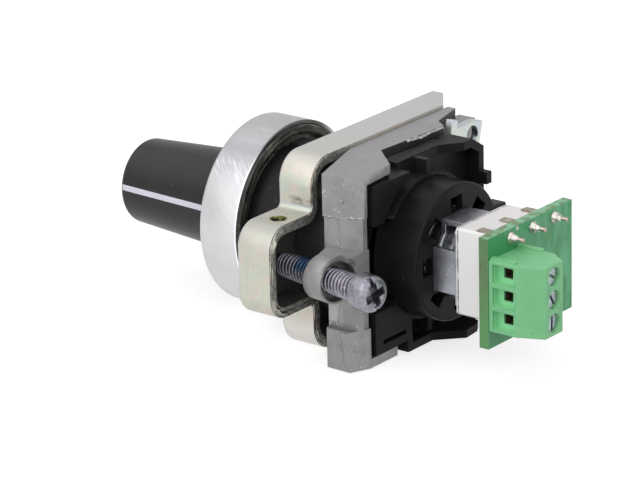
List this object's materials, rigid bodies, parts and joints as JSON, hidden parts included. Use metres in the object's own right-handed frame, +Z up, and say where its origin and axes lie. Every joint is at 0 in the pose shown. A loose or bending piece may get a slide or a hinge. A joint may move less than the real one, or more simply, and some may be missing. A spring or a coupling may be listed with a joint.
{
  "type": "panel mount potentiometer",
  "caption": "Rotary potentiometer for a round panel hole: knob, bezel, clamping collar with screw, lock ring, and a circuit board with a screw terminal block behind.",
  "frame": {"origin": "on the spindle's axis in the plane of the bezel's rear rim, where the panel's front face lies", "axes": "+Y along the spindle to the rear, towards the terminals; +X towards the clamp screw; +Z up; the knob points to -Y"},
  "size_m": [0.0485, 0.0816, 0.0302],
  "materials": {
    "knob": "satin black moulded plastic, drafted sides",
    "pointer_line": "white inlaid line",
    "spindle": "turned bright steel",
    "clip": "blued spring steel",
    "seal": "soft black rubber",
    "gasket": "dark grey rubber with a soft sheen",
    "bezel": "satin chrome with fine turning marks",
    "head": "black moulded plastic",
    "plate": "pale yellow passivated zinc on sheet steel",
    "screw": "blue passivated zinc with thread locking patch",
    "frame": "as-cast zinc alloy, matte grey",
    "lock": "bright zinc plated steel",
    "housing": "black moulded plastic, satin",
    "drum": "black moulded plastic, satin",
    "nickel": "nickel plated brass and steel",
    "cover": "bright folded sheet steel",
    "case": "white moulded plastic",
    "rotor": "cream moulded plastic",
    "wiper": "spring bronze",
    "element": "dark resistive track on its substrate",
    "tinned": "tinned brass",
    "solder": "bright solder",
    "board": "green solder mask on glass-fibre board",
    "terminal": "mint green moulded plastic",
    "cage": "zinc plated steel",
    "term_screw": "zinc plated steel, bluish"
  },
  "bodies": {
    "base": {"bezel_ring": "bezel", "panel_gasket": "gasket", "head_body": "head", "spindle_seal": "seal", "collar_frame": "frame", "carrier_housing": "housing", "pot_drum": "drum", "pot_bushing": "nickel", "lock_washer": "nickel", "pot_nut": "nickel", "pot_cover": "cover", "pot_end_plate": "cover", "pot_rivets": "tinned", "pot_case": "case", "resistive_element": "element", "pot_pins": "tinned", "circuit_board": "board", "solder_joints": "solder", "terminal_block": "terminal", "contact_bars": "tinned"},
    "knob_rotor": {"knob": "knob", "pointer_line": "pointer_line", "spindle": "spindle", "shaft_clip": "clip", "rotor": "rotor", "wiper": "wiper"},
    "clamp": {"clamp_plate": "plate"},
    "clamp_screw": {"clamp_screw": "screw"},
    "lock_ring": {"lock_ring": "lock"},
    "terminal_screw_1": {"terminal_screw_1": "term_screw"},
    "terminal_cage_1": {"terminal_cage_1": "cage"},
    "terminal_screw_2": {"terminal_screw_2": "term_screw"},
    "terminal_cage_2": {"terminal_cage_2": "cage"},
    "terminal_screw_3": {"terminal_screw_3": "term_screw"},
    "terminal_cage_3": {"terminal_cage_3": "cage"}
  },
  "joints": [
    {"name": "knob_turn", "type": "hinge", "parent": "base", "child": "knob_rotor", "pos_m": [0, 0, 0], "axis": [0, 1, 0], "range_deg": [-234, 66]},
    {"name": "clamp_slide", "type": "slide", "parent": "base", "child": "clamp", "axis": [-0.1736, -0.9848, 0], "range_m": [0, 0.0056]},
    {"name": "clamp_screw_turn", "type": "hinge", "parent": "clamp", "child": "clamp_screw", "pos_m": [0.02, 0.022, 0], "axis": [-0.1736, -0.9848, 0], "range_deg": [0, 2880]},
    {"name": "lock_turn", "type": "hinge", "parent": "base", "child": "lock_ring", "pos_m": [0, 0.0196, 0], "axis": [0, 1, 0], "range_deg": [-20, 0]},
    {"name": "cage_slide_1", "type": "slide", "parent": "base", "child": "terminal_cage_1", "axis": [0, 1, 0], "range_m": [0, 0.0012]},
    {"name": "terminal_screw_turn_1", "type": "hinge", "parent": "base", "child": "terminal_screw_1", "pos_m": [0.007, 0.05, 0.00268], "axis": [0, -1, 0], "range_deg": [0, 1080]},
    {"name": "cage_slide_2", "type": "slide", "parent": "base", "child": "terminal_cage_2", "axis": [0, 1, 0], "range_m": [0, 0.0012]},
    {"name": "terminal_screw_turn_2", "type": "hinge", "parent": "base", "child": "terminal_screw_2", "pos_m": [0.007, 0.05, -0.00082], "axis": [0, -1, 0], "range_deg": [0, 1080]},
    {"name": "cage_slide_3", "type": "slide", "parent": "base", "child": "terminal_cage_3", "axis": [0, 1, 0], "range_m": [0, 0.0012]},
    {"name": "terminal_screw_turn_3", "type": "hinge", "parent": "base", "child": "terminal_screw_3", "pos_m": [0.007, 0.05, -0.00432], "axis": [0, -1, 0], "range_deg": [0, 1080]}
  ],
  "couplings": [
    {"joint": "clamp_screw_turn", "follows": "clamp_slide", "rad_per_m": 8976},
    {"joint": "terminal_screw_turn_1", "follows": "cage_slide_1", "rad_per_m": 15708},
    {"joint": "terminal_screw_turn_2", "follows": "cage_slide_2", "rad_per_m": 15708},
    {"joint": "terminal_screw_turn_3", "follows": "cage_slide_3", "rad_per_m": 15708}
  ]
}
